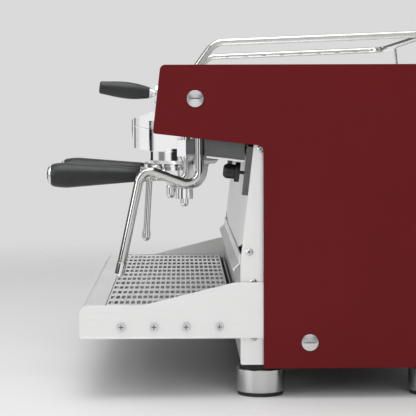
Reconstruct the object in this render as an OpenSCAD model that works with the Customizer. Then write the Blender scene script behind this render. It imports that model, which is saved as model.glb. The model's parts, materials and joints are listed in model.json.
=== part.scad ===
// Two-group espresso machine, in millimetres, with +Z up.
// The front, where the operator stands, faces -Y and the operator's right is +X.
// The origin is on the floor, in the middle of the machine's outline.

/* [Body] */
// Width over the two coloured side panels
machine_w = 780; // [760:10:820]
// Height of the side panels' top edge
machine_top = 438; // [434:1:442]
// Rear edge of the side panels
machine_rear = 292; // [280:1:300]
// Backward lean of the fascia and of the column's front, in degrees
lean = 6.6; // [5.5:0.1:7.5]
// Thickness of a side panel
panel_t = 4; // [3:0.5:5]

/* [Groups] */
// Distance between the two group axes
group_pitch = 260; // [250:5:270]
// Outer radius of the bell that the portafilter locks into
bell_r = 50; // [48:0.5:52]
// Distance of the group axes in front of the origin
group_reach = 91; // [89:1:93]

/* [Portafilters] */
// Radius of the filter holder's rim
holder_r = 35; // [34.5:0.1:35]
// Length of the black handle grip
grip_len = 129.5; // [122:0.5:130]
// Greatest radius of the handle grip
grip_r = 18.5; // [16:0.5:20]

/* [Steam and water] */
// Sideways place of the steam lever and steam wand
steam_x = 300; // [290:5:310]
// Radius of the steam wand tube
wand_r = 6; // [5:0.5:6]
// Sideways place of the hot water pipe
water_x = 230; // [225:1:240]
// Radius of the hot water pipe
water_r = 4.5; // [3:0.5:5]

/* [Drip tray] */
// Height of the tray's front rim
tray_top = 124; // [122:1:126]
// Number of slots in one column of the tray grid
grid_rows = 22; // [16:1:22]
// Number of slots across the tray grid
grid_columns = 12; // [8:1:12]

/* [Cup rail] */
// Radius of the rail's tube
rail_r = 5; // [4:0.5:6]
// Sideways place of the rail's legs
rail_x = 275; // [260:5:290]

/* [Output] */
// Which sub-part to draw

/* [Hidden] */
$fn = 64;
slim = 0.3;
sheet = 2;
half_w = machine_w / 2;
inner_w = half_w - 14;
base_z = 44;
panel_low = 40.5;
column_y = -18;
column_bend_z = 180;
panel_column_y = 12;
head_y = -132;
head_z = 349;
rear_panel_y = machine_rear - 16;
group_x = group_pitch / 2;
group_y = -group_reach;
bell_z = 302;
bell_h = 18;
bell_top = bell_z + bell_h;
holder_top = bell_z + 13.2;
handle_z = 285.6;
handle_start = 64.3;
lug_turn = -40;
tray_front = -229.6;
tray_low = 80;
tray_back_z = 153.5;
screw_wide_r = 11;
screw_button_r = 4.75;
screw_tray_r = 5.75;
fascia_inset = 4;
fascia_h = 84;
lever_z = 401;
button_z = 410;
gauge_z = 394;
foot_x = half_w - 45;
foot_r = 32;
foot_y = 9.6;
foot_rear_y = 240;
boiler_r = 92;
boiler_len = 430;
boiler_y = 130;
boiler_z = 300;
wand_y = -70.2;
water_y = -88.8;
tap_x = steam_x + 44;
tap_z = 295;
lever_reach = 16;
lever_ball_r = 9;
lever_pin_r = 2.5;
splash_low = 183;
frame_h = 18;
drain_z = 88;
waste_z = 70;
inlet_x = 180;
inlet_z = 90;
pump_x = -355;
pump_y = 130;
pump_z = base_z + 80;
tray_wall_x = half_w - panel_t - 4;
tray_screw_z = 95.5;
rim_back_y = -196;
basin_front = rim_back_y + 1;
basin_back = column_y - 3;
grid_front = basin_front;
grid_back = -29;
grid_edge = 12;

red = [0.42, 0.11, 0.12];
satin = [0.80, 0.80, 0.79];
chrome = [0.86, 0.86, 0.86];
black = [0.10, 0.10, 0.10];
dark_grey = [0.25, 0.26, 0.27];
copper = [0.75, 0.45, 0.30];
brass = [0.78, 0.65, 0.35];

// ---------- Helpers ----------

function unit(v) = v / norm(v);

// The points of an arc of radius r that rounds corner b, between a and c
function fillet(a, b, c, r, steps = 6) =
    r == 0 ? [b] :
    let (u = unit(a - b),
         v = unit(c - b),
         half = acos(u * v) / 2,
         centre = b + unit(u + v) * r / sin(half),
         p = b + u * r / tan(half) - centre,
         side = u.x * v.y - u.y * v.x > 0 ? -1 : 1,
         turn = side * (180 - 2 * half))
    [for (i = [0:steps])
        let (t = turn * i / steps)
        centre + [p.x * cos(t) - p.y * sin(t), p.x * sin(t) + p.y * cos(t)]];

// An outline with each corner rounded by its own radius
function rounded(points, radii) =
    let (n = len(points))
    [for (i = [0:n - 1])
        each fillet(points[(i + n - 1) % n], points[i], points[(i + 1) % n], radii[i])];

// The same path moved sideways by d, for the second face of a folded sheet
function shifted(path, d) =
    let (n = len(path))
    [for (i = [0:n - 1])
        let (a = unit(path[max(i, 1)] - path[max(i, 1) - 1]),
             b = unit(path[min(i, n - 2) + 1] - path[min(i, n - 2)]),
             m = unit([-a.y, a.x] + [-b.y, b.x]))
        path[i] + m * d / (m * [-a.y, a.x])];

// Depth of the fascia line and of the column's front line at height z
function head_line(z) = head_y + (z - head_z) * tan(lean);
function column_line(z) = column_y + max(z - column_bend_z, 0) * tan(lean);
// Height of the side panels' sloping lower edge at depth y
function underside_z(y) = head_z - (y - head_y) * tan(lean);

// Extrudes a (Y, Z) outline along X, from x to x + t
module across(x, t) {
    translate([x, 0, 0])
        rotate([90, 0, 90])
            linear_extrude(t)
                children();
}

// A sheet of even thickness that follows a (Y, Z) path, centred on X
module folded_sheet(path, width, t = sheet) {
    across(-width / 2, width)
        polygon(concat(path, [for (i = [len(path) - 1:-1:0]) shifted(path, t)[i]]));
}

// A local frame on the fascia's face: x sideways, y up the face, z out of it
module on_fascia(x, z) {
    translate([x, head_line(z) + fascia_inset, z])
        rotate([90 - lean, 0, 0])
            children();
}

// The same on the leaning splash panel
module on_splash(x, z) {
    translate([x, column_line(z), z])
        rotate([90 - lean, 0, 0])
            children();
}

module ring(outer, inner, h) {
    difference() {
        cylinder(r = outer, h = h);
        translate([0, 0, -1])
            cylinder(r = inner, h = h + 2);
    }
}

// A cylinder between two points
module rod(a, b, r) {
    d = b - a;
    translate(a)
        rotate([0, acos(d.z / norm(d)), atan2(d.y, d.x)])
            cylinder(r = r, h = norm(d));
}

// The torus part of a bend at corner b, for a tube that runs from a to c
module elbow(a, b, c, r, bend) {
    u = unit(a - b);
    v = unit(c - b);
    half = acos(u * v) / 2;
    normal = unit(cross(v, u));
    centre = b + unit(u + v) * bend / sin(half);
    tilt = acos(normal.z);
    swing = atan2(normal.y, normal.x);
    start = b + u * bend / tan(half) - centre;
    ex = [cos(tilt) * cos(swing), cos(tilt) * sin(swing), -sin(tilt)];
    ey = [-sin(swing), cos(swing), 0];
    translate(centre)
        rotate([0, tilt, swing])
            rotate([0, 0, atan2(start * ey, start * ex)])
                rotate_extrude(angle = 180 - 2 * half)
                    translate([bend, 0])
                        circle(r = r);
}

// A round tube or rod along a path of points, with rounded bends.
// The straight runs are a hair thinner than the bends and reach a little into them,
// so that the pieces join into one solid.
module bent_tube(path, r, bend) {
    n = len(path);
    thin = 0.03;
    lap = 0.5;
    // Length that a bend takes from each of its two straight runs
    function cut(i) =
        i == 0 || i == n - 1 ? 0 :
        bend / tan(acos(unit(path[i - 1] - path[i]) * unit(path[i + 1] - path[i])) / 2) - lap;
    for (i = [0:n - 2]) {
        u = unit(path[i + 1] - path[i]);
        rod(path[i] + u * cut(i), path[i + 1] - u * cut(i + 1), r - thin);
    }
    for (i = [1:1:n - 2])
        elbow(path[i - 1], path[i], path[i + 1], r, bend);
}

// Places a child on the left and on the right side of the machine
module both_sides() {
    children();
    mirror([1, 0, 0])
        children();
}

// ---------- Body shell ----------

module base_frame() {
    plate = 3;
    // Hairline left by the spot welds between the plate and the bars on it
    weld = 0.1;
    front = column_y + 3;
    rear = rear_panel_y - sheet - 1;
    bar_z = base_z + plate + weld;
    bar_h = frame_h - plate - weld;
    color(dark_grey)
        difference() {
            union() {
                translate([-inner_w, front, base_z])
                    cube([2 * inner_w, rear - front, plate]);
                for (y = [front, rear - plate])
                    translate([-inner_w, y, bar_z])
                        cube([2 * inner_w, plate, bar_h]);
                // Rails under the pump's and the boiler's feet
                for (x = [-330, -255, -120, 100, 255])
                    translate([x, front + plate + weld, bar_z])
                        cube([20, rear - front - 2 * (plate + weld), bar_h]);
            }
            for (x = [-foot_x, foot_x], y = [foot_y, foot_rear_y])
                translate([x, y, base_z - 1])
                    cylinder(r = 5.3, h = 6);
        }
}

// The steel plate inside each side panel, which also shows as the column's side
module side_frame(side) {
    x = side > 0 ? inner_w + 1 : -inner_w - 1 - sheet;
    color(satin)
        across(x, sheet)
            difference() {
                polygon(rounded([
                    [column_y, base_z],
                    [column_y, column_bend_z],
                    [column_line(underside_z(0) + 6), underside_z(0) + 6],
                    [head_line(head_z + 6) + 8, underside_z(head_y + 8) + 6],
                    [head_line(machine_top - 6) + 8, machine_top - 6],
                    [rear_panel_y, machine_top - 6],
                    [rear_panel_y, base_z]
                ], [2, 0, 0, 4, 6, 6, 2]));
                for (p = column_screw_places())
                    translate(p)
                        circle(r = 2.3);
            }
}

// Depth and height of the small screws in the column's side
function column_screw_places() = [[-6.4, 193], [-1.4, 153.2], [-1.2, 79.8], [8.6, 328]];

module side_frame_left() {
    side_frame(-1);
}

module side_frame_right() {
    side_frame(1);
}

function panel_screw_places() = [
    [-76.7, 394], [machine_rear - 52, 394],
    [72.6, 74.7], [machine_rear - 52, 74.7]
];

// The coloured side panel, with one deep notch under its front
module side_panel(side) {
    color(red)
        across(side > 0 ? half_w - panel_t : -half_w, panel_t)
            difference() {
                polygon(rounded([
                    [head_y, head_z],
                    [head_line(machine_top), machine_top],
                    [machine_rear, machine_top],
                    [machine_rear, panel_low],
                    [panel_column_y, panel_low],
                    [panel_column_y, underside_z(panel_column_y)]
                ], [4, 7, 6, 4, 2, 8]));
                for (p = panel_screw_places())
                    translate(p)
                        circle(r = 4.5);
            }
}

module side_panel_left() {
    side_panel(-1);
}

module side_panel_right() {
    side_panel(1);
}

// A large slotted screw with a shallow crown, its axis along +Z
module slotted_screw() {
    difference() {
        union() {
            intersection() {
                cylinder(r = screw_wide_r, h = 3);
                translate([0, 0, -37.2])
                    sphere(r = 40, $fn = 96);
            }
            translate([0, 0, -10])
                cylinder(r = 4, h = 11);
            // Shoulder that spaces the panel off the frame
            translate([0, 0, -half_w + inner_w + 3.3])
                cylinder(r = 7.5, h = half_w - inner_w - 3.6 - panel_t);
        }
        translate([-screw_wide_r, -0.8, 1.4])
            cube([2 * screw_wide_r, 1.6, 4]);
    }
}

module panel_screws() {
    color(chrome)
        both_sides()
            for (p = panel_screw_places())
                translate([half_w, p.x, p.y])
                    rotate([90, 0, 90])
                        slotted_screw();
}

module front_fascia() {
    color(satin)
        difference() {
            on_fascia(0, head_z + 3)
                translate([-inner_w, 0, -sheet])
                    cube([2 * inner_w, fascia_h, sheet]);
            for (x = [-group_x, group_x])
                on_fascia(x, head_z)
                    translate([-42, -1, -10])
                        cube([84, 38, 20]);
            on_fascia(steam_x, lever_z)
                translate([0, 0, -10])
                    cylinder(r = 11.3, h = 20);
            for (x = [-group_x, group_x])
                on_fascia(x, button_z)
                    translate([0, 0, -10])
                        cylinder(r = 9.4, h = 20);
            on_fascia(-steam_x, lever_z)
                translate([0, 0, -10])
                    cylinder(r = 11.4, h = 20);
            on_fascia(0, gauge_z)
                translate([0, 0, -10])
                    cylinder(r = 25.4, h = 20);
        }
}

// Folded cover under the head: a plate behind the fascia and a deeper box at the rear
module head_underside() {
    step_y = -63;
    rear_y = -12;
    low_z = 317.4;
    path = [
        [head_y + 10, underside_z(head_y + 10) + 3],
        [step_y, underside_z(step_y) + 3],
        [step_y, low_z],
        [rear_y, low_z - (rear_y - step_y) * tan(lean)],
        [rear_y, underside_z(rear_y) + 3]
    ];
    end_path = [
        path[1] - [0, 1],
        path[2] + [0, 1],
        path[3] + [0, 1],
        path[4]
    ];
    color(dark_grey)
        difference() {
            union() {
                folded_sheet(path, 2 * inner_w);
                both_sides()
                    across(inner_w - 4, sheet)
                        polygon(end_path);
            }
            for (x = [-group_x, group_x])
                translate([x - 54, head_y, 300])
                    cube([108, 98, 60]);
            for (x = [-group_x, group_x])
                translate([x, head_y, 352])
                    rotate([-90, 0, 0])
                        cylinder(r = 26, h = 120);
            translate([steam_x, wand_y, 330])
                cylinder(r = 6.6, h = 30);
            translate([water_x, water_y, 330])
                cylinder(r = 6.6, h = 30);
        }
}

// The leaning panel behind the cups, its two lower corners cut off at a slant
module splash_panel() {
    height = 133;
    cut_x = 170;
    cut_z = 21;
    color(satin)
        difference() {
            on_splash(0, splash_low)
                translate([0, 0, -sheet])
                    linear_extrude(sheet)
                        polygon([
                            [-inner_w, cut_z],
                            [cut_x - inner_w, 0],
                            [inner_w - cut_x, 0],
                            [inner_w, cut_z],
                            [inner_w, height],
                            [-inner_w, height]
                        ]);
            on_splash(tap_x, tap_z)
                translate([0, 0, -5])
                    cylinder(r = 2.8, h = 10);
        }
}

// The angled strip across the column's foot that throws drips into the tray
module splash_deflector() {
    color(satin)
        folded_sheet([
            [column_line(190) - slim, 190],
            [column_y - slim, 177],
            [-26.2, 169.8],
            [-25, 168.2]
        ], 2 * inner_w, -1.6);
}

module lower_front_panel() {
    color(satin)
        difference() {
            folded_sheet([
                [column_y + 0.7, base_z + 1],
                [column_y + 0.7, splash_low - 4],
                [column_y + 6, splash_low + 1],
                [column_line(206) + 6, 206]
            ], 2 * inner_w, -sheet);
            translate([0, column_y - 5, drain_z])
                rotate([-90, 0, 0])
                    cylinder(r = 8.4, h = 20);
        }
}

module rear_panel() {
    color(satin)
        translate([0, rear_panel_y - sheet, 0])
            difference() {
                translate([-inner_w, 0, base_z + 1])
                    cube([2 * inner_w, sheet, machine_top - base_z - 9]);
                for (x = [-6:6], z = [330, 370])
                    if (x != 0)
                        translate([x * 44 - 15, -1, z])
                            cube([30, 4, 6]);
                translate([-180, -1, 90])
                    rotate([-90, 0, 0])
                        cylinder(r = 9.3, h = 4);
                translate([inlet_x, -1, inlet_z])
                    rotate([-90, 0, 0])
                        cylinder(r = 8.3, h = 4);
                translate([0, -1, waste_z])
                    rotate([-90, 0, 0])
                        cylinder(r = 8.4, h = 4);
            }
}

// The slotted cup shelf that closes the top
module cup_tray() {
    front = head_line(machine_top) + 10;
    depth = machine_rear - front - 2;
    top = machine_top - 2;
    wide = half_w - panel_t - 0.5;
    color(satin)
        difference() {
            union() {
                translate([-wide, front, top - sheet])
                    cube([2 * wide, depth, sheet]);
                // The raised field that cups stand on, inside the rail
                translate([-rail_x + 12, -62, top - 0.5])
                    cube([2 * (rail_x - 12), 302, 1.5]);
                for (y = [front, front + depth - sheet])
                    translate([-inner_w, y, top - 10])
                        cube([2 * inner_w, sheet, 9]);
            }
            for (row = [0:8], column = [-4:4])
                translate([column * 56 - 20, -48 + row * 32, top - 5])
                    cube([40, 6, 8]);
        }
}

module cup_rail() {
    rise = tan(2.2);
    bend_front = [-37, 472];
    rear_y = 251;
    top = machine_top - 2;
    function rail_z(y) = bend_front.y + (y - bend_front.x) * rise;
    path = [
        [rail_x, -73, top + 3],
        [rail_x, bend_front.x - 12, rail_z(bend_front.x - 12)],
        [rail_x, rear_y, rail_z(rear_y)],
        [-rail_x, rear_y, rail_z(rear_y)],
        [-rail_x, bend_front.x - 12, rail_z(bend_front.x - 12)],
        [-rail_x, -73, top + 3]
    ];
    color(chrome) {
        bent_tube(path, rail_r, 26);
        for (x = [-rail_x, rail_x])
            translate([x, -75, top])
                cylinder(r = 9, h = 3);
        for (x = [-125, 125])
            rod([x, rear_y + 5, top + slim], [x, rear_y, rail_z(rear_y)], 1.8);
    }
}

// Dark flat bars that stand on the splash panel, beside the column plates
module column_brackets() {
    color(dark_grey)
        both_sides()
            on_splash(inner_w - 3, 267)
                difference() {
                    union() {
                        cube([3, 64, 8]);
                        translate([-14, 0, 0])
                            cube([16, 46, 1.6]);
                        for (y = [6, 40])
                            translate([2, y, 4])
                                rotate([0, 90, 0])
                                    cylinder(r = 2.4, h = 2.2);
                    }
                    for (y = [10, 36])
                        translate([-8, y, -1])
                            cylinder(r = 2, h = 4);
                }
}

// ---------- Drip tray ----------

// The brushed side wall, which runs back inside the side panel
module tray_side(side) {
    color(satin)
        across(side > 0 ? tray_wall_x : -tray_wall_x - 3, 3)
            difference() {
                polygon(rounded([
                    [tray_front, tray_low],
                    [tray_front, tray_top - 7],
                    [tray_front + 7, tray_top],
                    [-146.5, tray_top],
                    [-26, tray_back_z],
                    [60, tray_back_z],
                    [60, tray_low]
                ], [4, 5, 4, 30, 30, 4, 4]));
                for (y = tray_screw_places())
                    translate([y, tray_screw_z])
                        circle(r = 3);
            }
}

function tray_screw_places() = [-174.8, -131.9, -89.7, -45.8];

module tray_side_left() {
    tray_side(-1);
}

module tray_side_right() {
    tray_side(1);
}

module tray_front_rim() {
    color(satin)
        folded_sheet([
            [rim_back_y, tray_top - 22],
            [rim_back_y, tray_top - 0.5],
            [tray_front + 8, tray_top - 0.5],
            [tray_front + 1.5, tray_top - 7],
            [tray_front + 1.5, tray_low + 1],
            [tray_front + 14, tray_low + 1]
        ], 2 * tray_wall_x - 1, sheet);
}

module tray_basin() {
    floor_z = 96;
    rim_z = 118;
    color(dark_grey)
        difference() {
            union() {
                difference() {
                    translate([-tray_wall_x + slim, basin_front, floor_z])
                        cube([2 * tray_wall_x - 2 * slim, basin_back - basin_front, rim_z - floor_z]);
                    translate([-tray_wall_x + slim + sheet, basin_front + sheet, floor_z + sheet])
                        cube([2 * (tray_wall_x - slim - sheet), basin_back - basin_front - 2 * sheet, 60]);
                }
                // Rails that the grid's folded edges stand on
                for (y = grid_edges())
                    translate([-tray_wall_x + 1, y - 1, floor_z + 1])
                        cube([2 * tray_wall_x - 2, 3.5, tray_top - 1 - grid_edge - slim - floor_z - 1]);
            }
            translate([0, -60, floor_z - 1])
                cylinder(r = 18, h = 4);
        }
}

// Depths of the grid's two folded edges
function grid_edges() = [grid_front + 4, grid_back - 4];

module tray_grid() {
    wide = tray_wall_x - 8;
    pitch_x = 2 * (wide - 6) / grid_columns;
    pitch_y = (grid_back - grid_front - 2) / grid_rows;
    slot_x = 0.62 * pitch_x;
    slot_y = 0.68 * pitch_y;
    top = tray_top - 1;
    color(satin)
        difference() {
            union() {
                translate([-wide, grid_front, top - 1.5])
                    cube([2 * wide, grid_back - grid_front, 1.5]);
                for (y = grid_edges())
                    translate([-wide, y, top - grid_edge])
                        cube([2 * wide, 1.5, grid_edge - 0.5]);
            }
            translate([0, 0, top - 3])
                linear_extrude(5)
                    for (column = [0:grid_columns - 1], row = [0:grid_rows - 1])
                        translate([
                            (column + 0.5 - grid_columns / 2) * pitch_x - slot_x / 2,
                            grid_front + 1 + (row + 0.5) * pitch_y - slot_y / 2
                        ])
                            square([slot_x, slot_y]);
        }
}

// A countersunk screw with a cross recess, its axis along +Z
module cross_screw() {
    difference() {
        union() {
            cylinder(r1 = 3, r2 = screw_tray_r, h = 2.6);
            translate([0, 0, 2.6])
                cylinder(r = screw_tray_r, h = 0.6);
            translate([0, 0, -3.2])
                cylinder(r = 2.4, h = 4);
        }
        for (turn = [0, 90])
            rotate([0, 0, turn])
                translate([-3.2, -0.6, 1.4])
                    cube([6.4, 1.2, 3]);
    }
}

// A low round-headed screw with a hexagon socket, its axis along +Z
module button_screw() {
    difference() {
        union() {
            cylinder(r = screw_button_r, h = 1.4);
            translate([0, 0, 1.4])
                cylinder(r1 = screw_button_r, r2 = screw_button_r - 1.6, h = 0.9);
            translate([0, 0, -5])
                cylinder(r = 2, h = 5.5);
        }
        translate([0, 0, 0.9])
            cylinder(r = 1.8, h = 3, $fn = 6);
    }
}

module case_screws() {
    color(chrome)
        both_sides() {
            for (y = tray_screw_places())
                translate([tray_wall_x + 3, y, tray_screw_z])
                    rotate([90, 0, 90])
                        cross_screw();
            for (p = column_screw_places())
                translate([inner_w + 1 + sheet, p.x, p.y])
                    rotate([90, 0, 90])
                        button_screw();
        }
}

// The cup under the basin's drain hole and its pipe to the rear
module drain_cup() {
    color(black)
        difference() {
            union() {
                translate([0, -60, drain_z - 7])
                    cylinder(r = 26, h = 14.7);
                bent_tube([
                    [0, -60, drain_z],
                    [0, 30, drain_z],
                    [0, 60, waste_z],
                    [0, rear_panel_y + 4, waste_z]
                ], 7, 14);
                translate([0, rear_panel_y + 2, waste_z])
                    rotate([-90, 0, 0])
                        cylinder(r = 7.5, h = 12);
            }
            translate([0, -60, drain_z - 5])
                cylinder(r = 23, h = 30);
            translate([0, rear_panel_y - 30, waste_z])
                rotate([-90, 0, 0])
                    cylinder(r = 5, h = 60);
        }
}

// ---------- Feet ----------

module at_feet() {
    for (x = [-foot_x, foot_x], y = [foot_y, foot_rear_y])
        translate([x, y, 0])
            children();
}

module foot_sleeves() {
    color(chrome)
        at_feet()
            difference() {
                union() {
                    translate([0, 0, 5])
                        cylinder(r1 = foot_r - 1, r2 = foot_r, h = 1);
                    translate([0, 0, 6])
                        cylinder(r = foot_r, h = 29);
                    translate([0, 0, 35])
                        cylinder(r1 = foot_r, r2 = foot_r - 1, h = 1);
                    cylinder(r = 5, h = base_z + 14);
                }
                translate([0, 0, -1])
                    ring(foot_r - 3, 5, 11);
                translate([0, 0, -1])
                    cylinder(r = 6, h = 6);
            }
}

// The rubber sole and the black collar of each foot
module foot_rubbers() {
    color(black)
        at_feet() {
            cylinder(r1 = foot_r - 2, r2 = foot_r - 1, h = 4.7);
            translate([0, 0, 36])
                ring(foot_r - 4, 5.3, base_z - 36);
        }
}

// ---------- Groups ----------

// Places a child in each group's own frame, with its axis along Z
module at_group(side) {
    translate([side * group_x, group_y, 0])
        children();
}

module group_body(side) {
    width = 80;
    color(chrome)
        at_group(side)
            difference() {
                union() {
                    translate([0, 0, bell_top])
                        linear_extrude(44)
                            polygon(rounded([
                                [-width / 2, -49.5],
                                [width / 2, -49.5],
                                [width / 2, 46],
                                [-width / 2, 46]
                            ], [8, 8, 34, 34]));
                    translate([0, 0, 352])
                        rotate([-90, 0, 0]) {
                            cylinder(r = 25, h = 94);
                            translate([0, 0, 92])
                                cylinder(r = 38, h = 8);
                        }
                    translate([0, 0, bell_top])
                        cylinder(r = bell_r - 2, h = 4);
                }
                translate([0, 0, bell_top - 1])
                    cylinder(r = 36.6, h = 7);
                translate([0, 0, bell_top + 5])
                    cylinder(r = 4, h = 40);
                translate([0, 0, 352])
                    rotate([-90, 0, 0])
                        cylinder(r = 9, h = 120);
            }
}

module group_body_left() {
    group_body(-1);
}

module group_body_right() {
    group_body(1);
}

// The chromed nose over each group: a lower cover and a sloping lid
module group_covers() {
    front = -75.6;
    back = -50.2;
    lid_back = -28;
    color(chrome)
        for (side = [-1, 1])
            at_group(side) {
                nose(front, back)
                    polygon(rounded([
                        [front + 2.4, 326],
                        [front, 357.6],
                        [back + 1, 352.4],
                        [back + 1, 320.8]
                    ], [5, 0, 0, 0]));
                nose(front, lid_back)
                    polygon(rounded([
                        [front, 358.3],
                        [front, 367],
                        [lid_back + 1, 367 + (lid_back - front) * tan(18)],
                        [lid_back + 1, 364.4],
                        [back, 364.4],
                        [back, 353.3]
                    ], [0, 5, 0, 0, 0, 0]));
            }
}

// Part of a group's nose: a (Y, Z) outline between two depths, its front corners rounded
module nose(front, back) {
    width = 84;
    intersection() {
        translate([0, 0, 300])
            linear_extrude(100)
                polygon(rounded([
                    [-width / 2, back],
                    [-width / 2, front],
                    [width / 2, front],
                    [width / 2, back]
                ], [0, 13, 13, 0]));
        across(-width, 2 * width)
            children();
    }
}

module group_bells() {
    lip_h = 3.6;
    groove_h = 6.4;
    color(chrome)
        for (side = [-1, 1])
            at_group(side)
                difference() {
                    rotate_extrude()
                        polygon([
                            [holder_r + 0.5, bell_z],
                            [bell_r - 4, bell_z],
                            [bell_r, bell_z + 5],
                            [bell_r, bell_top],
                            [37, bell_top],
                            [37, bell_z + lip_h + groove_h],
                            [42, bell_z + lip_h + groove_h],
                            [42, bell_z + lip_h],
                            [holder_r + 0.5, bell_z + lip_h]
                        ]);
                    // Gaps in the lip that let the lugs in
                    for (turn = [lug_turn, lug_turn + 180])
                        rotate([0, 0, turn])
                            translate([30, -13, bell_z - 1])
                                cube([12, 26, lip_h + 2]);
                }
}

module group_gaskets() {
    color(black)
        for (side = [-1, 1])
            at_group(side)
                translate([0, 0, holder_top + 1.1])
                    ring(36.3, 30, 9.4);
}

module shower_screens() {
    color(chrome)
        for (side = [-1, 1])
            at_group(side)
                translate([0, 0, bell_top + 1]) {
                    difference() {
                        cylinder(r = 29, h = 1.2);
                        for (ring_r = [9, 15, 21, 26], i = [0:ring_r - 1])
                            rotate([0, 0, i * 360 / ring_r])
                                translate([ring_r, 0, -1])
                                    cylinder(r = 1, h = 4, $fn = 14);
                    }
                    translate([0, 0, -1.6])
                        cylinder(r = 5, h = 2);
                }
}

// ---------- Portafilters ----------

// The holder: a bowl with two lugs and a neck for the handle
module portafilter(side) {
    bowl_low = 266;
    bowl_high = 298;
    foot = 13.5;
    curve = [for (a = [0:10:90])
        [foot + (holder_r - foot) * sin(a), bowl_high - (bowl_high - bowl_low) * cos(a)]];
    color(chrome)
        at_group(side)
            difference() {
                union() {
                    rotate_extrude()
                        polygon(concat([[0, bowl_low]], curve, [
                            [holder_r, holder_top],
                            [0, holder_top]
                        ]));
                    // A raised band under the rim
                    translate([0, 0, bell_z - 4])
                        cylinder(r = holder_r + 1.2, h = 3.4);
                    intersection() {
                        translate([0, 0, bell_z + 4])
                            cylinder(r = 41, h = 5.4);
                        translate([-50, -11, bell_z])
                            cube([100, 22, 20]);
                    }
                    translate([0, -24, handle_z])
                        rotate([90, 0, 0]) {
                            cylinder(r = 9, h = handle_start - 24);
                            translate([0, 0, handle_start - 36])
                                cylinder(r1 = 9, r2 = 11, h = 12);
                        }
                }
                translate([0, 0, 292])
                    cylinder(r = 31.2, h = 40);
                translate([0, 0, 274])
                    cylinder(r1 = 15, r2 = 27, h = 18.1);
                translate([0, 0, 250])
                    cylinder(r = 5, h = 30);
            }
}

module portafilter_left() {
    portafilter(-1);
}

module portafilter_right() {
    portafilter(1);
}

// The moulded grip: a straight taper with a rounded end
module handle(side) {
    neck_r = 10;
    end_r = 14.5;
    shoulder = grip_len - 24;
    rounding = [for (a = [0:10:90])
        [end_r + (grip_r - end_r) * cos(a), shoulder + 24 * sin(a)]];
    color(black)
        at_group(side)
            translate([0, -handle_start - slim, handle_z])
                rotate([90, 0, 0])
                    rotate_extrude()
                        polygon(concat(
                            [[0, 0], [neck_r - 1.5, 0], [neck_r, 2]],
                            rounding,
                            [[0, grip_len]]
                        ));
}

module handle_left() {
    handle(-1);
}

module handle_right() {
    handle(1);
}

// The domed chrome end cap of a handle
module handle_cap(side) {
    dome_h = 5.6;
    dome = [for (a = [0:15:90]) [14 * cos(a), 1 + dome_h * sin(a)]];
    color(chrome)
        at_group(side)
            translate([0, -handle_start - 2 * slim - grip_len, handle_z])
                rotate([90, 0, 0])
                    rotate_extrude()
                        polygon(concat([[0, 0], [14, 0]], dome));
}

module handle_cap_left() {
    handle_cap(-1);
}

module handle_cap_right() {
    handle_cap(1);
}

module filter_basket(side) {
    color(chrome)
        at_group(side)
            difference() {
                union() {
                    translate([0, 0, holder_top + 0.1])
                        cylinder(r = 34.2, h = 0.8);
                    translate([0, 0, 293])
                        cylinder(r1 = 29, r2 = 30.6, h = holder_top - 293 + 0.5);
                }
                translate([0, 0, 293.8])
                    cylinder(r1 = 28.2, r2 = 29.9, h = 40);
                for (ring_r = [6, 12, 18, 24], i = [0:ring_r - 1])
                    rotate([0, 0, i * 360 / ring_r])
                        translate([ring_r, 0, 292])
                            cylinder(r = 0.8, h = 4, $fn = 14);
            }
}

module filter_basket_left() {
    filter_basket(-1);
}

module filter_basket_right() {
    filter_basket(1);
}

// A vertical outlet with a rounded end, its mouth open below
module outlet(top, low, r) {
    translate([0, 0, low + r])
        cylinder(r = r, h = top - low - r);
    translate([0, 0, low + r])
        sphere(r = r);
}

// The left spout pours from a single outlet, turned towards the handle
module spout_left() {
    color(chrome)
        at_group(-1)
            difference() {
                union() {
                    translate([0, 0, 255])
                        cylinder(r = 12, h = 10.7);
                    translate([0, 0, 255])
                        rotate([90, 0, 0])
                            cylinder(r = 7, h = 22);
                    translate([0, -22, 0])
                        outlet(255, 237, 7);
                    translate([0, -22, 255])
                        sphere(r = 7);
                }
                translate([0, 0, 256])
                    cylinder(r = 5, h = 30);
                translate([0, -22, 230])
                    cylinder(r = 4, h = 25);
            }
}

// The right spout pours straight down from one outlet under a wide boss
module spout_right() {
    color(chrome)
        at_group(1)
            difference() {
                union() {
                    translate([0, 0, 250.4])
                        cylinder(r = 12.8, h = 15.3);
                    outlet(252, 238.4, 6.2);
                }
                translate([0, 0, 258])
                    cylinder(r = 5, h = 20);
                translate([0, 0, 236])
                    cylinder(r = 3.4, h = 24);
            }
}

// ---------- Steam and hot water ----------

module steam_lever_grip() {
    length = 66;
    neck_r = 7.5;
    tip_r = 8.4;
    side = [for (i = [0:12])
        let (t = i / 12)
        [neck_r + (tip_r - neck_r) * t + 3.4 * pow(sin(180 * pow(t, 0.85)), 1.2), length * t]];
    color(black)
        on_fascia(steam_x, lever_z)
            translate([0, 0, lever_reach])
                rotate_extrude()
                    polygon(concat([[0, 0]], side, [[tip_r - 1.5, length + 1.5], [0, length + 1.5]]));
}

// The stem, its ball and the cross pin that it tilts on
module steam_lever_stem() {
    color(chrome)
        on_fascia(steam_x, lever_z) {
            sphere(r = lever_ball_r);
            translate([-10.6, 0, 0])
                rotate([0, 90, 0])
                    cylinder(r = lever_pin_r, h = 21.2);
            cylinder(r = 4.5, h = lever_reach - slim);
            translate([0, 0, lever_reach - 4])
                cylinder(r = 6.5, h = 4 - slim);
        }
}

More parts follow.
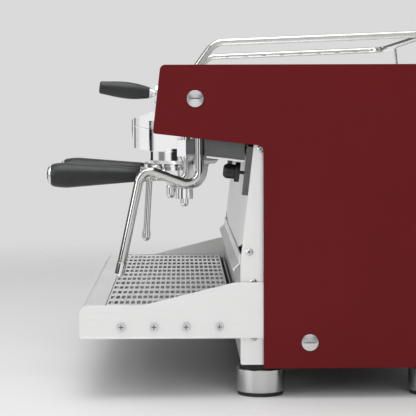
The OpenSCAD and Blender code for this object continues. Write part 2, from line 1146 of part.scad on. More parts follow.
// The valve that the lever works, with the round collar that shows on the fascia
module steam_valve() {
    color(chrome)
        on_fascia(steam_x, lever_z)
            difference() {
                union() {
                    translate([0, 0, 0.4])
                        cylinder(r1 = 13.6, r2 = 12.4, h = 8);
                    translate([0, 0, -34])
                        cylinder(r = 11, h = 35);
                    translate([0, 0, -44])
                        cylinder(r = 14, h = 12, $fn = 6);
                }
                sphere(r = lever_ball_r + slim);
                cylinder(r = lever_ball_r, h = 10);
                translate([-11.2, 0, 0])
                    rotate([0, 90, 0])
                        cylinder(r = lever_pin_r + slim, h = 22.4);
                translate([0, 0, -30])
                    cylinder(r = 5, h = 30);
            }
}

module steam_wand_nut() {
    color(chrome)
        translate([steam_x, wand_y, 0])
            difference() {
                union() {
                    translate([0, 0, 352])
                        cylinder(r = 13, h = 14, $fn = 6);
                    translate([0, 0, 349.6])
                        cylinder(r = 10, h = 3);
                    translate([0, 0, 364])
                        cylinder(r = 8, h = 14);
                }
                translate([0, 0, 348])
                    cylinder(r = wand_r + 0.05, h = 22);
            }
}

// The bent wand, as depth and height of its corners from its swivel down to its tip
function wand_path() = [
    [steam_x, wand_y, 368],
    [steam_x, wand_y, 272.7],
    [steam_x, -148.7, 301.8],
    [steam_x, -176.5, 172.6]
];

module steam_wand() {
    color(chrome)
        bent_tube(wand_path(), wand_r, 17);
}

module steam_tip() {
    path = wand_path();
    along = unit(path[3] - path[2]);
    color(chrome)
        difference() {
            union() {
                rod(path[3] + along * 0.01, path[3] + along * 16, wand_r + 0.7);
                translate(path[3] + along * 14.5)
                    sphere(r = wand_r - 0.6);
            }
            rod(path[3] + along * 8, path[3] + along * 24, 1.2);
        }
}

module water_nut() {
    color(chrome)
        translate([water_x, water_y, 0])
            difference() {
                union() {
                    translate([0, 0, 315])
                        cylinder(r = 14.2, h = 23, $fn = 6);
                    translate([0, 0, 308])
                        cylinder(r1 = 7, r2 = 12.2, h = 7.2);
                    translate([0, 0, 337])
                        cylinder(r = 6.4, h = 27);
                }
                translate([0, 0, 300])
                    cylinder(r = water_r + 0.05, h = 30);
            }
}

module water_pipe() {
    leg = [[water_x, -140, 288], [water_x, -144.4, 212]];
    along = unit(leg[1] - leg[0]);
    color(chrome) {
        bent_tube([
            [water_x, water_y, 328],
            [water_x, water_y, 278.5],
            [water_x, -139.2, 297],
            leg[1]
        ], water_r, 9);
        rod(leg[0] + along * 3, leg[0] + along * 6, 7);
        rod(leg[1] - along * 0.5, leg[1] + along * 3, 5);
        rod(leg[1] + along * 3, leg[1] + along * 11, 6);
        translate(leg[1] + along * 10)
            sphere(r = 5.4);
    }
}

// The tap on the splash panel: a flanged black knob on a thin spindle
module valve_knob() {
    dome = [for (a = [0:15:90]) [5 + 5 * cos(a), 28 + 7 * sin(a)]];
    color(black)
        on_splash(tap_x, tap_z) {
            translate([0, 0, -20])
                cylinder(r = 2.2, h = 36);
            translate([0, 0, 13])
                cylinder(r = 13.2, h = 6.4);
            difference() {
                rotate_extrude()
                    polygon(concat([[0, 19], [9.4, 19]], dome));
                for (i = [0:5])
                    rotate([0, 0, i * 60])
                        translate([12.4, 0, 20.5])
                            cylinder(r = 3.2, h = 20);
            }
        }
}

// ---------- Controls ----------

// A round push button that slides into the fascia
module push_button(x, z, r) {
    color(black)
        on_fascia(x, z) {
            translate([0, 0, -14])
                cylinder(r = r, h = 16.6);
            translate([0, 0, 2.6])
                cylinder(r1 = r, r2 = r - 1, h = 1);
        }
}

module brew_button_left() {
    push_button(-group_x, button_z, 9);
}

module brew_button_right() {
    push_button(group_x, button_z, 9);
}

module power_button() {
    push_button(-steam_x, lever_z, 11);
}

module gauge() {
    color(chrome)
        on_fascia(0, gauge_z)
            difference() {
                union() {
                    translate([0, 0, -26])
                        cylinder(r = 25, h = 27);
                    translate([0, 0, 0.3])
                        cylinder(r1 = 28, r2 = 26.5, h = 3);
                }
                translate([0, 0, -1])
                    cylinder(r = 23.5, h = 6);
                translate([0, 0, -8])
                    cylinder(r = 2.3, h = 20);
            }
}

module gauge_needle() {
    color(black)
        on_fascia(0, gauge_z)
            rotate([0, 0, -135]) {
                translate([0, 0, -6])
                    cylinder(r = 1.9, h = 7);
                translate([0, 0, -0.4])
                    cylinder(r = 3.2, h = 1);
                translate([-6, -0.6, -0.4])
                    cube([24, 1.2, 0.8]);
            }
}

// ---------- Inside ----------

module boiler() {
    shell = 3;
    color(copper)
        translate([0, boiler_y, boiler_z])
            difference() {
                union() {
                    rotate([0, 90, 0])
                        translate([0, 0, -boiler_len / 2])
                            cylinder(r = boiler_r, h = boiler_len);
                    translate([-boiler_len / 2 - 8, 0, 0])
                        rotate([0, 90, 0])
                            cylinder(r1 = boiler_r - 16, r2 = boiler_r, h = 8);
                    // Flanged stubs that the groups bolt to
                    for (x = [-group_x, group_x])
                        translate([x, 0, 352 - boiler_z])
                            rotate([90, 0, 0]) {
                                cylinder(r = 22, h = boiler_y - 16);
                                translate([0, 0, boiler_y - 24])
                                    cylinder(r = 38, h = 14.5);
                            }
                    for (x = [-130, 90])
                        translate([x, -30, base_z + frame_h - boiler_z])
                            cube([40, 60, boiler_z - base_z - frame_h - boiler_r + 12]);
                }
                rotate([0, 90, 0])
                    translate([0, 0, -boiler_len / 2])
                        cylinder(r = boiler_r - shell, h = boiler_len - shell);
                translate([boiler_len / 2 - shell - 1, 0, 0])
                    rotate([0, 90, 0])
                        cylinder(r = 36, h = 20);
            }
}

// The electric element: a bolted flange with two bent tubes inside the boiler
module heater() {
    x = boiler_len / 2;
    color(brass)
        translate([0, boiler_y, boiler_z]) {
            translate([x + 0.2, 0, 0])
                rotate([0, 90, 0])
                    cylinder(r = 48, h = 8);
            for (y = [-18, 18])
                bent_tube([
                    [x + 14, y, 12],
                    [x - 300, y, 12],
                    [x - 300, y, -18],
                    [x + 14, y, -18]
                ], 4.2, 12);
        }
}

module pump() {
    color(dark_grey)
        translate([pump_x, pump_y, pump_z]) {
            rotate([0, 90, 0])
                cylinder(r = 48, h = 140);
            translate([140, 0, 0])
                rotate([0, 90, 0]) {
                    cylinder(r = 32, h = 14);
                    cylinder(r = 26, h = 70);
                }
            translate([20, -35, base_z + frame_h - pump_z])
                cube([100, 70, 20]);
        }
}

module pipework() {
    port_x = pump_x + 190;
    color(copper) {
        // Mains water to the pump
        bent_tube([
            [inlet_x, rear_panel_y - 12, inlet_z],
            [inlet_x, 230, inlet_z],
            [port_x, 230, inlet_z],
            [port_x, 200, pump_z],
            [port_x, pump_y + 26.3, pump_z]
        ], 4, 10);
        // Pump to the boiler
        bent_tube([
            [port_x, pump_y - 26.3, pump_z],
            [port_x, 30, pump_z],
            [port_x, 30, 236],
            [port_x, 56, 240]
        ], 4, 10);
        // Boiler to the steam valve
        bent_tube([
            [210, boiler_y - 30, boiler_z + boiler_r - 3],
            [210, boiler_y - 30, 416],
            [250, -68, 416],
            [steam_x, -68, 404],
            [steam_x, -76.6, 403.4]
        ], 4, 5);
    }
}

// Threaded unions at the rear: mains water comes in through one
module water_inlet() {
    color(brass)
        translate([inlet_x, rear_panel_y, inlet_z])
            rotate([-90, 0, 0])
                difference() {
                    union() {
                        translate([0, 0, -10])
                            cylinder(r = 7.4, h = 13);
                        translate([0, 0, 2])
                            cylinder(r = 8, h = 12);
                        translate([0, 0, -8.3])
                            cylinder(r = 12, h = 6, $fn = 6);
                    }
                    translate([0, 0, -11.7])
                        cylinder(r = 5, h = 40);
                }
}

module cable_gland() {
    color(black)
        translate([-180, rear_panel_y, 90])
            rotate([-90, 0, 0])
                difference() {
                    union() {
                        translate([0, 0, -12])
                            cylinder(r = 9, h = 14);
                        translate([0, 0, 0.3])
                            cylinder(r = 13, h = 6, $fn = 6);
                        translate([0, 0, 6])
                            cylinder(r = 10.5, h = 8);
                    }
                    translate([0, 0, -14])
                        cylinder(r = 6.5, h = 40);
                }
}

// ---------- Output ----------

base_frame();
side_frame_left();
side_frame_right();
side_panel_left();
side_panel_right();
panel_screws();
front_fascia();
head_underside();
splash_panel();
splash_deflector();
lower_front_panel();
rear_panel();
cup_tray();
cup_rail();
column_brackets();
tray_basin();
tray_side_left();
tray_side_right();
tray_front_rim();
tray_grid();
case_screws();
drain_cup();
foot_sleeves();
foot_rubbers();
group_body_left();
group_body_right();
group_covers();
group_bells();
group_gaskets();
shower_screens();
portafilter_left();
portafilter_right();
handle_left();
handle_right();
handle_cap_left();
handle_cap_right();
filter_basket_left();
filter_basket_right();
spout_left();
spout_right();
steam_lever_grip();
steam_lever_stem();
steam_valve();
steam_wand_nut();
steam_wand();
steam_tip();
water_nut();
water_pipe();
valve_knob();
brew_button_left();
brew_button_right();
power_button();
gauge();
gauge_needle();
boiler();
heater();
pump();
pipework();
water_inlet();
cable_gland();
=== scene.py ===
"""Looks, light and camera for the two-group espresso machine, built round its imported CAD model."""
import json
import math

import bpy
import bmesh
from mathutils import Matrix, Vector


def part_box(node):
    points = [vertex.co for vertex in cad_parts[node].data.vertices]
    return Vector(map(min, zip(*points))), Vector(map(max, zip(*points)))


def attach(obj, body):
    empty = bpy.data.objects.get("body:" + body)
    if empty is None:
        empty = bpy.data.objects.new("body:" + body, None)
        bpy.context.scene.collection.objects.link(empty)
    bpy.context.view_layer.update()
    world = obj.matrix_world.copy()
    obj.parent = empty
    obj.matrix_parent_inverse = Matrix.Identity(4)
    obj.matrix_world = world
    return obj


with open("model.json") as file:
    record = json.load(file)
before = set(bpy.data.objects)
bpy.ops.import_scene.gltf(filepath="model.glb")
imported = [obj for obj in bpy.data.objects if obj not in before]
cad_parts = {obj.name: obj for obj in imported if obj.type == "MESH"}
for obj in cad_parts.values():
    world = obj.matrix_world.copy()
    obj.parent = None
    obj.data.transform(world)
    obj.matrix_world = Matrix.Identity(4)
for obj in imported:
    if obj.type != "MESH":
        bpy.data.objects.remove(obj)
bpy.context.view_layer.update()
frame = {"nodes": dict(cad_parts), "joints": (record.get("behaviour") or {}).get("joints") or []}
nodes = frame["nodes"]
joints = {joint["name"]: joint for joint in frame["joints"]}

MM = 0.001
# The fascia and the splash panel share one lean; the tap turns about their outward normal
OUTWARD = Vector(joints["valve_knob_turn"]["axis"])
LEAN = math.asin(OUTWARD.z)
# Noise scales of the two fine surface textures
ORANGE_PEEL = 2600
ERODED_GRAIN = 1500
# Edges that turn by more than this stay sharp
SHARP_ANGLE = math.radians(35)


# ---------- Material building blocks ----------

class Shader:
    """A new material with a Principled shader and short calls for the nodes that feed it."""

    def __init__(self, name, color, roughness, metallic=0.0, **sockets):
        self.material = bpy.data.materials.new(name)
        self.material.use_nodes = True
        self.tree = self.material.node_tree
        self.bsdf = self.tree.nodes["Principled BSDF"]
        self.color = color
        self.roughness = roughness
        self.set(self.bsdf, "Base Color", (*color, 1.0))
        self.set(self.bsdf, "Roughness", roughness)
        self.set(self.bsdf, "Metallic", metallic)
        for key, value in sockets.items():
            self.set(self.bsdf, key.replace("_", " "), value)
        self.coords = self.node("ShaderNodeTexCoord")

    def node(self, kind, **values):
        made = self.tree.nodes.new(kind)
        for key, value in values.items():
            setattr(made, key, value)
        return made

    def set(self, node, socket, value):
        node.inputs[socket].default_value = value

    def link(self, source, target):
        self.tree.links.new(source, target)

    def noise(self, scale, detail=3.0, stretch=(1, 1, 1)):
        """Noise in the object's own coordinates, stretched along its axes."""
        mapping = self.node("ShaderNodeMapping")
        self.set(mapping, "Scale", stretch)
        self.link(self.coords.outputs["Object"], mapping.inputs["Vector"])
        noise = self.node("ShaderNodeTexNoise")
        self.set(noise, "Scale", scale)
        self.set(noise, "Detail", detail)
        self.link(mapping.outputs["Vector"], noise.inputs["Vector"])
        return noise.outputs["Fac"]

    def ramp(self, source, low, high):
        """A number that runs from low to high as the source runs over its middle range."""
        spread = self.node("ShaderNodeMapRange")
        self.set(spread, "From Min", 0.3)
        self.set(spread, "From Max", 0.7)
        self.set(spread, "To Min", low)
        self.set(spread, "To Max", high)
        self.link(source, spread.inputs["Value"])
        return spread.outputs["Result"]

    def tint(self, source, dark, light):
        """Varies the base colour between two strengths of itself."""
        mix = self.node("ShaderNodeMix", data_type="RGBA")
        mix.inputs[6].default_value = (*[c * dark for c in self.color], 1.0)
        mix.inputs[7].default_value = (*[min(c * light, 1.0) for c in self.color], 1.0)
        self.link(self.ramp(source, 0.0, 1.0), mix.inputs["Factor"])
        self.link(mix.outputs[2], self.bsdf.inputs["Base Color"])

    def vary_roughness(self, source, spread):
        low = max(self.roughness - spread, 0.02)
        self.link(self.ramp(source, low, self.roughness + spread), self.bsdf.inputs["Roughness"])

    def bump(self, source, distance, strength, edge=0.0006):
        """Fine relief, on top of softly rounded edges."""
        rounded = self.node("ShaderNodeBevel", samples=4)
        self.set(rounded, "Radius", edge)
        relief = self.node("ShaderNodeBump")
        self.set(relief, "Distance", distance)
        self.set(relief, "Strength", strength)
        self.link(source, relief.inputs["Height"])
        self.link(rounded.outputs["Normal"], relief.inputs["Normal"])
        self.link(relief.outputs["Normal"], self.bsdf.inputs["Normal"])


def paint(name, color, roughness):
    """Powder coat: a fine orange-peel relief and slight cloudiness."""
    shader = Shader(name, color, roughness, Specular_IOR_Level=0.14)
    shader.tint(shader.noise(5, 4), 0.95, 1.06)
    shader.vary_roughness(shader.noise(60), 0.05)
    shader.bump(shader.noise(ORANGE_PEEL, 2), 0.00005, 0.3)
    return shader.material


def brushed(name, grain, color=(0.87, 0.87, 0.865), roughness=0.36):
    """Satin steel, brushed along the grain axis."""
    stretch = [90.0, 90.0, 90.0]
    stretch["xyz".index(grain)] = 1.4
    shader = Shader(name, color, roughness, 0.72)
    lines = shader.noise(9, 5, stretch)
    shader.tint(lines, 0.975, 1.015)
    shader.vary_roughness(lines, 0.04)
    shader.bump(lines, 0.00002, 0.2)
    return shader.material


def polished(name, color, roughness=0.06):
    """Chrome or polished steel with faint handling marks."""
    shader = Shader(name, color, roughness, 1.0)
    shader.tint(shader.noise(7, 4), 0.97, 1.02)
    shader.vary_roughness(shader.noise(45, 5), 0.025)
    shader.bump(shader.noise(220, 2), 0.00002, 0.1)
    return shader.material


def turned(name, color, roughness):
    """Small machined steel heads, with painted shade: darker in their recesses and where they meet a
    panel.
    """
    shader = Shader(name, color, roughness, 1.0)
    shader.vary_roughness(shader.noise(300, 4), 0.06)
    shader.bump(shader.noise(900, 3), 0.00003, 0.2, 0.0002)
    # Painted shade: ambient occlusion darkens the base colour towards near-black in the recesses and
    # where a head meets a panel.
    shade = shader.node("ShaderNodeAmbientOcclusion", samples=6)
    shader.set(shade, "Distance", 0.0028)
    depth = shader.node("ShaderNodeMath", operation="POWER")
    shader.link(shade.outputs["AO"], depth.inputs[0])
    shader.set(depth, 1, 2.2)
    mix = shader.node("ShaderNodeMix", data_type="RGBA")
    mix.inputs[6].default_value = (0.02, 0.02, 0.02, 1)
    mix.inputs[7].default_value = (*color, 1)
    shader.link(depth.outputs["Value"], mix.inputs["Factor"])
    shader.link(mix.outputs[2], shader.bsdf.inputs["Base Color"])
    return shader.material


def moulded(name, color, roughness):
    """Moulded plastic or rubber with a fine eroded texture."""
    shader = Shader(name, color, roughness, Specular_IOR_Level=0.5)
    shader.tint(shader.noise(9, 3), 0.85, 1.15)
    shader.vary_roughness(shader.noise(120), 0.06)
    shader.bump(shader.noise(ERODED_GRAIN, 3), 0.00007, 0.45)
    return shader.material


def casting(name, color, roughness):
    """Copper and brass with slight heat staining."""
    shader = Shader(name, color, roughness, 1.0)
    shader.tint(shader.noise(14, 6), 0.78, 1.08)
    shader.vary_roughness(shader.noise(80, 4), 0.1)
    shader.bump(shader.noise(600, 3), 0.00004, 0.3)
    return shader.material


RED = paint("red_powder_coat", (0.108, 0.0056, 0.0072), 0.45)
DARK = paint("dark_powder_coat", (0.055, 0.058, 0.062), 0.5)
# Painted shade: satin steel darkened to stand for the shade over the head's underside and the column
# brackets.
SHADED_STEEL = brushed("shaded_satin_steel", "y", (0.12, 0.122, 0.124), 0.3)
STEEL_Y = brushed("satin_steel_y", "y")
STEEL_X = brushed("satin_steel_x", "x")
STEEL_Z = brushed("satin_steel_z", "z")
# Painted shade: the basin's steel is darkened to stand for the shade under the grid and the front
# rim.
BASIN = brushed("basin_steel", "x", (0.36, 0.36, 0.36), 0.3)
RAIL = polished("polished_tube", (0.60, 0.60, 0.59), 0.11)
CHROME = polished("chrome", (0.77, 0.77, 0.78))
FOOT = polished("turned_chrome", (0.60, 0.60, 0.60), 0.14)
SCREW = turned("screw_steel", (0.68, 0.68, 0.69), 0.28)
BLACK = moulded("black_grip", (0.011, 0.012, 0.012), 0.4)
RUBBER = moulded("black_rubber", (0.014, 0.014, 0.014), 0.65)
COPPER = casting("copper", (0.60, 0.29, 0.18), 0.3)
BRASS = casting("brass", (0.66, 0.50, 0.22), 0.28)
ENAMEL = paint("dial_enamel", (0.78, 0.78, 0.76), 0.35)
INK = paint("dial_ink", (0.012, 0.012, 0.012), 0.5)
AMBER = moulded("lamp_amber", (0.75, 0.28, 0.03), 0.2)

FINISHES = {
    RED: ["side_panel_left", "side_panel_right"],
    DARK: ["base_frame", "pump"],
    SHADED_STEEL: ["head_underside", "column_brackets"],
    STEEL_Y: ["tray_side_left", "tray_side_right"],
    STEEL_Z: ["side_frame_left", "side_frame_right"],
    STEEL_X: [
        "front_fascia", "splash_panel", "splash_deflector", "lower_front_panel", "rear_panel",
        "cup_tray", "tray_front_rim", "tray_grid",
    ],
    BASIN: ["tray_basin"],
    RAIL: ["cup_rail", "steam_wand", "water_pipe"],
    FOOT: ["foot_sleeves"],
    SCREW: ["panel_screws", "case_screws", "shower_screens"],
    BLACK: [
        "handle_left", "handle_right", "steam_lever_grip", "valve_knob", "brew_button_left",
        "brew_button_right", "power_button", "gauge_needle", "cable_gland", "drain_cup",
    ],
    RUBBER: ["foot_rubbers", "group_gaskets"],
    COPPER: ["boiler", "pipework"],
    BRASS: ["heater", "water_inlet"],
}


def dress(node, material):
    """Gives a CAD node one finish all over."""
    slots = nodes[node].data.materials
    slots.clear()
    slots.append(material)


for material, names in FINISHES.items():
    for name in names:
        dress(name, material)
finished = {name for names in FINISHES.values() for name in names}
for name in nodes:
    if name not in finished:
        dress(name, CHROME)


# ---------- Piece building blocks ----------

def add_piece(name, mesh, material, body):
    """Puts a finished mesh in the scene, riding on a CAD body."""
    for face in mesh.polygons:
        face.use_smooth = True
    mesh.set_sharp_from_angle(angle=SHARP_ANGLE)
    mesh.materials.append(material)
    piece = bpy.data.objects.new(name, mesh)
    bpy.context.scene.collection.objects.link(piece)
    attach(piece, body)


def to_mesh(name, bm, place=Matrix()):
    bmesh.ops.transform(bm, matrix=place, verts=bm.verts)
    bmesh.ops.recalc_face_normals(bm, faces=bm.faces)
    mesh = bpy.data.meshes.new(name)
    bm.to_mesh(mesh)
    bm.free()
    return mesh


def lathe(profile, steps=72):
    """Turns a closed (radius, height) outline, in millimetres, about the local Z axis."""
    bm = bmesh.new()
    rings = []
    for i in range(steps):
        turn = 2 * math.pi * i / steps
        rings.append([
            bm.verts.new((r * MM * math.cos(turn), r * MM * math.sin(turn), h * MM))
            for r, h in profile
        ])
    for i, ring in enumerate(rings):
        after = rings[(i + 1) % steps]
        for j in range(len(profile)):
            k = (j + 1) % len(profile)
            bm.faces.new((ring[j], after[j], after[k], ring[k]))
    return bm


def soft_bar(bm, low, high, edge, place=Matrix()):
    """Adds a bar with rounded edges between two corners, in millimetres."""
    size = [b - a for a, b in zip(low, high)]
    made = bmesh.ops.create_cube(bm, size=1.0)["verts"]
    bmesh.ops.scale(bm, vec=[s * MM for s in size], verts=made)
    middle = Vector([(a + b) / 2 * MM for a, b in zip(low, high)])
    bmesh.ops.translate(bm, vec=middle, verts=made)
    edges = {e for v in made for e in v.link_edges}
    rounded = bmesh.ops.bevel(
        bm, geom=list(edges), offset=edge * MM, segments=3, profile=0.5, affect="EDGES"
    )
    verts = {v for face in rounded["faces"] for v in face.verts}
    bmesh.ops.transform(bm, matrix=place, verts=list(verts))


def facing_out(centre):
    """A place on the leaning front: local Z points out of it, local X along the machine."""
    tilt = OUTWARD.to_track_quat("Z", "Y").to_matrix().to_4x4()
    return Matrix.Translation(centre) @ tilt


def middle_of(node):
    low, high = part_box(node)
    return (low + high) / 2


def ring_profile(inner, outer, low, high, edge=0.5):
    """The outline of a ring with softened outer corners."""
    return [
        (inner, low), (outer - edge, low), (outer, low + edge),
        (outer, high - edge), (outer - edge, high), (inner, high),
    ]


# ---------- Gauge and buttons ----------

def gauge_face():
    """A pale dial with plain ticks, behind a thin domed window."""
    place = facing_out(Vector(joints["gauge_needle_turn"]["pos_m"]))
    dial = to_mesh("gauge_dial", lathe(ring_profile(2.6, 23.3, -0.95, -0.72, 0.1)), place)
    add_piece("gauge_dial", dial, ENAMEL, "machine")
    ticks = bmesh.new()
    tick_count, first_tick, sweep = 11, -225, 270
    for i in range(tick_count):
        degrees = first_tick + sweep * i / (tick_count - 1)
        turn = Matrix.Rotation(math.radians(degrees), 4, "Z")
        start = 15.5 if i % 5 == 0 else 17.5
        soft_bar(ticks, (start, -0.35, -0.74), (20.5, 0.35, -0.62), 0.03, turn)
    add_piece("gauge_ticks", to_mesh("gauge_ticks", ticks, place), INK, "machine")
    dome = [(23.4 * math.cos(a), 1.5 + 1.9 * math.sin(a))
            for a in [math.radians(10 * step) for step in range(10)]]
    inside = [(r * 0.985, h - 0.5) for r, h in reversed(dome)]
    window = to_mesh("gauge_window", lathe(dome + inside), place)
    glass = Shader("window_glass", (1, 1, 1), 0.02, Transmission_Weight=1.0, IOR=1.3)
    add_piece("gauge_window", window, glass.material, "machine")


def button_centre(node):
    """About where a button's axis meets the fascia, from its box. It lands 0.87 mm too high."""
    low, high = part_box(node)
    radius = (high.x - low.x) / 2
    proud = 3.6 * MM
    chamfer = MM
    rim = radius - chamfer
    y = low.y + proud * math.cos(LEAN) + rim * math.sin(LEAN)
    z = high.z - proud * math.sin(LEAN) - rim * math.cos(LEAN)
    return Vector(((low.x + high.x) / 2, y, z))


def button_bezels():
    """A turned ring round each push button, and a small lamp above it. The rings cut 0.47 mm in."""
    lamp_profile = [(2.4, 0.05), (2.4, 0.8), (1.7, 1.5), (0.6, 1.8), (0.02, 1.85), (0.02, 0.05)]
    for node in ("brew_button_left", "brew_button_right", "power_button"):
        low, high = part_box(node)
        radius = (high.x - low.x) / 2 / MM + 0.4
        place = facing_out(button_centre(node))
        bezel = to_mesh(node + "_bezel", lathe(ring_profile(radius, radius + 3, 0.05, 2.2)), place)
        add_piece(node + "_bezel", bezel, CHROME, "machine")
        above = place @ Matrix.Translation((0, (radius + 9) * MM, 0))
        lamp = to_mesh(node + "_lamp", lathe(lamp_profile, 32), above)
        add_piece(node + "_lamp", lamp, AMBER, "machine")


gauge_face()
button_bezels()


# ---------- Trim ----------

def tray_hems():
    """The folded hem along the foot of each tray wall."""
    for side, node in ((-1, "tray_side_left"), (1, "tray_side_right")):
        low, high = (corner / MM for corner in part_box(node))
        outer = high.x if side > 0 else low.x
        hem = bmesh.new()
        reach = sorted((outer - side * 1.0, outer + side * 0.5))
        soft_bar(hem, (reach[0], low.y + 4, low.z), (reach[1], -14, low.z + 2.2), 0.45)
        name = node + "_hem"
        add_piece(name, to_mesh(name, hem), STEEL_Y, "machine")


def underside_lips():
    """A bright folded lip along the foot of the cover's two ends."""
    low, high = (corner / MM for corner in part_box("head_underside"))
    slope = Matrix.Rotation(-LEAN, 4, "X")
    length = 50.5
    for side in (-1, 1):
        outer = high.x if side > 0 else low.x
        reach = sorted((outer - side * 4, outer + side * 0.6))
        lip = bmesh.new()
        hinge = Matrix.Translation((0, high.y * MM, low.z * MM)) @ slope
        soft_bar(lip, (reach[0], -length, -0.6), (reach[1], 0, 2.0), 0.4, hinge)
        name = "underside_lip_" + ("right" if side > 0 else "left")
        add_piece(name, to_mesh(name, lip), STEEL_Y, "machine")


def handle_ferrules():
    """A turned ring where each grip meets the holder's neck."""
    profile = [
        (8.6, 0), (10.6, 0), (11.6, 0.8), (11.6, 2.4), (10.9, 3.0),
        (11.6, 3.6), (11.6, 5.2), (10.6, 6.0), (8.6, 6.0),
    ]
    for side in ("left", "right"):
        low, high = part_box("handle_" + side)
        centre = Vector(((low.x + high.x) / 2, high.y + 0.2 * MM, middle_of("handle_" + side).z))
        place = Matrix.Translation(centre) @ Matrix.Rotation(math.radians(-90), 4, "X")
        name = "handle_ferrule_" + side
        ferrule = to_mesh(name, lathe(profile), place)
        add_piece(name, ferrule, CHROME, "portafilter_" + side + "_unit")


def lever_rings():
    """Two thin ridges on the steam lever's stem, next to the grip."""
    place = facing_out(Vector(joints["steam_lever_tilt"]["pos_m"]))
    for number, height in enumerate((12.6, 14.4), start=1):
        name = "lever_ridge_%d" % number
        ridge = to_mesh(name, lathe(ring_profile(6.2, 7.1, height, height + 0.9, 0.3)), place)
        add_piece(name, ridge, CHROME, "steam_lever_unit")


tray_hems()
underside_lips()
handle_ferrules()
lever_rings()


# ---------- Floor, light and camera ----------

def floor():
    """A pale floor that melts into the backdrop all round."""
    mesh = bpy.data.meshes.new("floor")
    reach = 4.0
    mesh.from_pydata(
        [(-reach, -reach, 0), (reach, -reach, 0), (reach, reach, 0), (-reach, reach, 0)],
        [], [(0, 1, 2, 3)],
    )
    plane = bpy.data.objects.new("floor", mesh)
    bpy.context.scene.collection.objects.link(plane)
    shader = Shader("pale_floor", (0.70, 0.70, 0.70), 0.6)
    shader.tint(shader.noise(2, 3), 0.99, 1.01)
    distance = shader.node("ShaderNodeVectorMath", operation="LENGTH")
    shader.link(shader.coords.outputs["Object"], distance.inputs[0])
    fade = shader.node("ShaderNodeMapRange", interpolation_type="SMOOTHSTEP")
    shader.set(fade, "From Min", 0.9)
    shader.set(fade, "From Max", 2.4)
    shader.link(distance.outputs["Value"], fade.inputs["Value"])
    clear = shader.node("ShaderNodeBsdfTransparent")
    mix = shader.node("ShaderNodeMixShader")
    shader.link(fade.outputs["Result"], mix.inputs["Fac"])
    shader.link(shader.bsdf.outputs["BSDF"], mix.inputs[1])
    shader.link(clear.outputs["BSDF"], mix.inputs[2])
    shader.link(mix.outputs["Shader"], shader.tree.nodes["Material Output"].inputs["Surface"])
    mesh.materials.append(shader.material)


def area_light(name, place, aim, size, power, glossy):
    data = bpy.data.lights.new(name, "AREA")
    data.shape = "RECTANGLE"
    data.size, data.size_y = size
    data.energy = power
    light = bpy.data.objects.new(name, data)
    bpy.context.scene.collection.objects.link(light)
    light.location = place
    light.rotation_euler = (Vector(aim) - Vector(place)).to_track_quat("-Z", "Y").to_euler()
    light.visible_camera = False
    light.visible_glossy = glossy


# Brightness of the room round the machine, by degrees from +X towards +Y
ROOM = [
    (-180, 0.95), (-162, 0.95), (-154, 0.03), (-132, 0.03), (-126, 1.0), (-100, 1.0),
    (-92, 0.3), (-72, 0.3), (-64, 1.1), (-48, 1.1), (-42, 0.03), (-24, 0.03), (-16, 1.1),
    (16, 1.1), (24, 0.06), (42, 0.06), (52, 0.95), (98, 0.95), (108, 0.05), (146, 0.05),
    (160, 0.95), (180, 0.95),
]
# Brightness by height: the sine of the elevation, what the walls are times, what the ceiling adds
HEIGHTS = [
    (-1.0, 0.4, 0.1), (-0.45, 0.4, 0.1), (-0.3, 1.0, 0.0), (0.01, 1.0, 0.0),
    (0.035, 0.15, 0.0), (0.17, 0.15, 0.0), (0.22, 1.0, 0.0), (0.42, 1.0, 0.0),
    (0.48, 0.3, 0.0), (0.56, 0.3, 0.0), (0.64, 0.5, 0.5), (0.8, 0.5, 0.5),
    (0.9, 0.2, 0.05), (1.0, 0.2, 0.05),
]
BACKDROP = 0.70


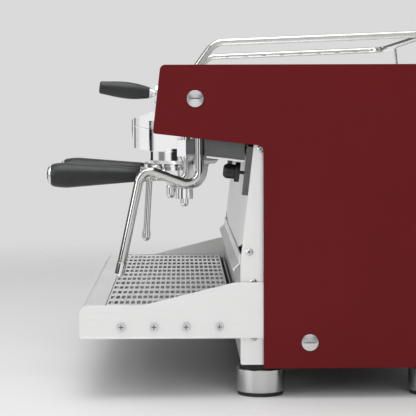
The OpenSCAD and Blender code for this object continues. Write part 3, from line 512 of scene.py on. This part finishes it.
def studio():
    """A pale room: soft boxes with dark gaps between them for the polished metal to mirror."""
    world = bpy.data.worlds.new("studio")
    bpy.context.scene.world = world
    world.use_nodes = True
    tree = world.node_tree

    def node(kind, **values):
        made = tree.nodes.new(kind)
        for key, value in values.items():
            setattr(made, key, value)
        return made

    def math_node(operation, *values):
        made = node("ShaderNodeMath", operation=operation)
        for socket, value in zip(made.inputs, values):
            if isinstance(value, (int, float)):
                socket.default_value = value
            else:
                tree.links.new(value, socket)
        return made.outputs["Value"]

    coords = node("ShaderNodeTexCoord")
    split = node("ShaderNodeSeparateXYZ")
    tree.links.new(coords.outputs["Generated"], split.inputs["Vector"])
    angle = math_node("ARCTAN2", split.outputs["Y"], split.outputs["X"])
    share = math_node("ADD", math_node("DIVIDE", angle, 2 * math.pi), 0.5)

    def levels(source, stops):
        ramp = node("ShaderNodeValToRGB")
        tree.links.new(source, ramp.inputs["Fac"])
        elements = ramp.color_ramp.elements
        elements.remove(elements[1])
        for i, (position, level) in enumerate(stops):
            stop = elements[0] if i == 0 else elements.new(position)
            stop.position = position
            stop.color = (level, level, level, 1)
        return ramp.outputs["Color"]

    walls = levels(share, [((degrees + 180) / 360, level) for degrees, level in ROOM])
    height = math_node("MULTIPLY_ADD", split.outputs["Z"], 0.5, 0.5)
    wall_share = levels(height, [((sine + 1) / 2, times) for sine, times, _ in HEIGHTS])
    ceiling = levels(height, [((sine + 1) / 2, added) for sine, _, added in HEIGHTS])
    room = math_node("ADD", math_node("MULTIPLY", walls, wall_share), ceiling)
    backdrop = node("ShaderNodeMix", data_type="RGBA")
    path = node("ShaderNodeLightPath")
    tree.links.new(path.outputs["Is Camera Ray"], backdrop.inputs["Factor"])
    tree.links.new(room, backdrop.inputs[6])
    backdrop.inputs[7].default_value = (BACKDROP, BACKDROP, BACKDROP, 1)
    tree.links.new(backdrop.outputs[2], tree.nodes["Background"].inputs["Color"])
    tree.nodes["Background"].inputs["Strength"].default_value = 1.0
    area_light("top_box", (0.5, -0.3, 2.4), (0, 0, 0.3), (1.8, 2.2), 38, True)
    area_light("front_box", (1.7, -2.3, 1.3), (0, -0.1, 0.3), (1.4, 1.8), 22, True)
    area_light("side_box", (2.8, 0.5, 1.3), (0.3, 0, 0.25), (1.4, 1.4), 22, False)


def camera():
    """Looks squarely at the operator's right-hand side from about 2 m."""
    half_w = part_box("side_panel_right")[1].x
    distance = 2.07
    place = Vector((half_w + distance, -0.093, 0.374))
    aim = Vector((half_w, -0.0605, 0.2518))
    data = bpy.data.cameras.new("camera")
    data.lens = 137.8
    data.sensor_width = 36
    cam = bpy.data.objects.new("camera", data)
    bpy.context.scene.collection.objects.link(cam)
    roll = Matrix.Rotation(math.radians(-0.2), 4, "Z")
    look = (aim - place).to_track_quat("-Z", "Y").to_matrix().to_4x4()
    cam.matrix_world = Matrix.Translation(place) @ look @ roll
    bpy.context.scene.camera = cam


floor()
studio()
camera()
bpy.context.scene.view_settings.view_transform = "Standard"
